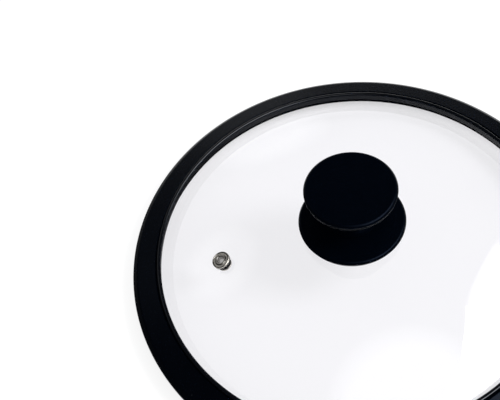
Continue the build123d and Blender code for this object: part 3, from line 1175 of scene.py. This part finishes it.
def make_floor():
    """Square of matte paper with its own light."""
    finish = Finish(bpy.data.materials.new("white_sweep"))
    matte = finish.add("BsdfDiffuse", None, {"Color": rgb(0.27, 0.27, 0.27)})
    glow = finish.add("Emission", None, {"Color": rgb(1, 1, 1), "Strength": floor_glow(finish)})
    half = FLOOR_SIZE / 2
    mesh = bpy.data.meshes.new("floor")
    corners = ((-half, -half, 0), (half, -half, 0), (half, half, 0), (-half, half, 0))
    mesh.from_pydata(corners, [], ((0, 1, 2, 3),))
    mesh.materials.append(finish.surface(finish.add("AddShader", None, {0: matte, 1: glow})))
    floor = bpy.data.objects.new("floor", mesh)
    bpy.context.scene.collection.objects.link(floor)
    print(f"floor {FLOOR_SIZE} m square")


make_floor()

# %% [markdown]
# Around the floor stands the room. An image of a studio would do, but a few soft-edged lights
# can each be aimed at the surface that mirrors them. The sweep lifts the flange a little all
# round. Of the three soft boxes, the first stands low behind the lid and greys the flange's far
# side, the second is a card at the left that gives the vent its bright rings, and the third hangs
# overhead and lightens the near glass. A narrow window at the right draws the fine lines on the
# bead and on the knob's edges. The rest is dim, which leaves the top of the knob black. A height
# is the sine of the angle above the horizon, and a light's edge is a range of the cosine of the
# angle from its direction.

# %% World
PAGE = 1.05
TENT = 0.45
ROOM = 0.05
SWEEP = 0.20
SWEEP_FOOT = (0.12, 0.20)
SWEEP_TOP = (0.60, 0.72)
SWEEP_WIDTH = (0.55, 0.92)
WINDOW = 8.0
WINDOW_FOOT = (0.60, 0.66)
WINDOW_TOP = (0.80, 0.86)
WINDOW_WIDTH = (0.44, 0.52)
WINDOW_DIRECTION = (0.866, -0.5, 0.0)
SOFT_BOXES = (
    # strength, direction, edge
    (0.40, (-0.08, 0.978, 0.19), (0.972, 0.992)),
    (0.50, (-0.511, 0.536, 0.672), (0.976, 0.992)),
    (1.0, (0.17, -0.47, 0.87), (0.90, 0.95)),
)


def mirrored_room(finish):
    """What shiny surfaces see: a dim room with the sweep, the window and the soft boxes."""
    direction = finish.add("TexCoord", output="Generated")
    height = finish.part(direction, "Z")
    sweep = finish.between(height, *SWEEP_FOOT) * (1 - finish.between(height, *SWEEP_TOP))
    sweep = sweep * finish.between(finish.part(direction, "Y"), *SWEEP_WIDTH)
    window = finish.between(height, *WINDOW_FOOT) * (1 - finish.between(height, *WINDOW_TOP))
    toward_window = finish.vector("DOT_PRODUCT", direction, WINDOW_DIRECTION, "Value")
    window = window * finish.between(toward_window, *WINDOW_WIDTH)
    room = ROOM + SWEEP * sweep + WINDOW * window
    for strength, aim, edge in SOFT_BOXES:
        toward = finish.vector("DOT_PRODUCT", direction, aim, "Value")
        room = room + strength * finish.between(toward, *edge)
    return room


def make_world():
    """White to the camera and through glass, an even tent to matte surfaces, a room to shiny."""
    world = bpy.data.worlds.new("studio")
    # Rays find the room's lights by themselves, with no map of the world made first.
    world.cycles.sampling_method = "NONE"
    finish = Finish(world)
    strength = PAGE * (finish.ray("Camera") + finish.ray("Transmission"))
    strength = strength + TENT * finish.ray("Diffuse") + mirrored_room(finish) * finish.ray("Glossy")
    light = finish.add("Background", None, {"Color": rgb(0.97, 0.98, 1.0), "Strength": strength})
    bpy.context.scene.world = finish.surface(light)
    print(f"page {PAGE}, tent {TENT}, room {ROOM} and {len(SOFT_BOXES)} soft boxes")


make_world()

# %% [markdown]
# One lamp stands at the right, a little in front. It is a soft box, because a sun or a point
# lamp would draw the rim's shadow with a hard edge. Mirrors don't see it: the lights they show
# are the room's.

# %% Lamp
def make_lamp(name, azimuth, elevation, distance, size, power):
    """Soft box on a sphere round the lid, facing its middle and hidden from mirrors."""
    direction = Vector((
        np.cos(radians(elevation)) * np.cos(radians(azimuth)),
        np.cos(radians(elevation)) * np.sin(radians(azimuth)),
        np.sin(radians(elevation)),
    ))
    light = bpy.data.lights.new(name, "AREA")
    light.size = size
    light.energy = power
    lamp = bpy.data.objects.new(name, light)
    lamp.location = direction * distance
    lamp.visible_glossy = False
    lamp.rotation_euler = direction.to_track_quat("Z", "Y").to_euler()
    bpy.context.scene.collection.objects.link(lamp)
    print(f"{name}: {power} W, {size} m across, {distance} m away")


make_lamp("key_softbox", azimuth=-20, elevation=48, distance=1.2, size=0.4, power=8.0)

# %% [markdown]
# ## The camera
#
# The view looks down at the lid from the front, a little less than half a metre from it, so the
# near side of the rim is drawn clearly larger than the far side. A longer lens from further off
# would flatten that.

# %% Camera
CAMERA_PLACE = Vector((-0.0528, -0.2476, 0.4164))
CAMERA_TARGET = Vector((-0.0507, 0.0486, 0.0100))
CAMERA_ROLL = -12.27
CAMERA_LENS = 60.7           # millimetres, on film 36 mm wide
FILM_WIDTH = 36.0


def make_camera():
    """Looks from its place to its target, then turns about its own axis by the roll."""
    camera = bpy.data.objects.new("camera", bpy.data.cameras.new("camera"))
    camera.data.lens = CAMERA_LENS
    camera.data.sensor_width = FILM_WIDTH
    camera.data.clip_start = 0.01
    facing = (CAMERA_TARGET - CAMERA_PLACE).to_track_quat("-Z", "Y").to_matrix()
    turn = facing @ Matrix.Rotation(radians(CAMERA_ROLL), 3, "Z")
    camera.matrix_world = Matrix.Translation(CAMERA_PLACE) @ turn.to_4x4()
    bpy.context.scene.collection.objects.link(camera)
    bpy.context.scene.camera = camera
    print(f"camera {(CAMERA_TARGET - CAMERA_PLACE).length:.2f} m from what it looks at")


make_camera()

# %% [markdown]
# The Standard view keeps white paper white, where a film-like one would grey it.

bpy.context.scene.view_settings.view_transform = "Standard"
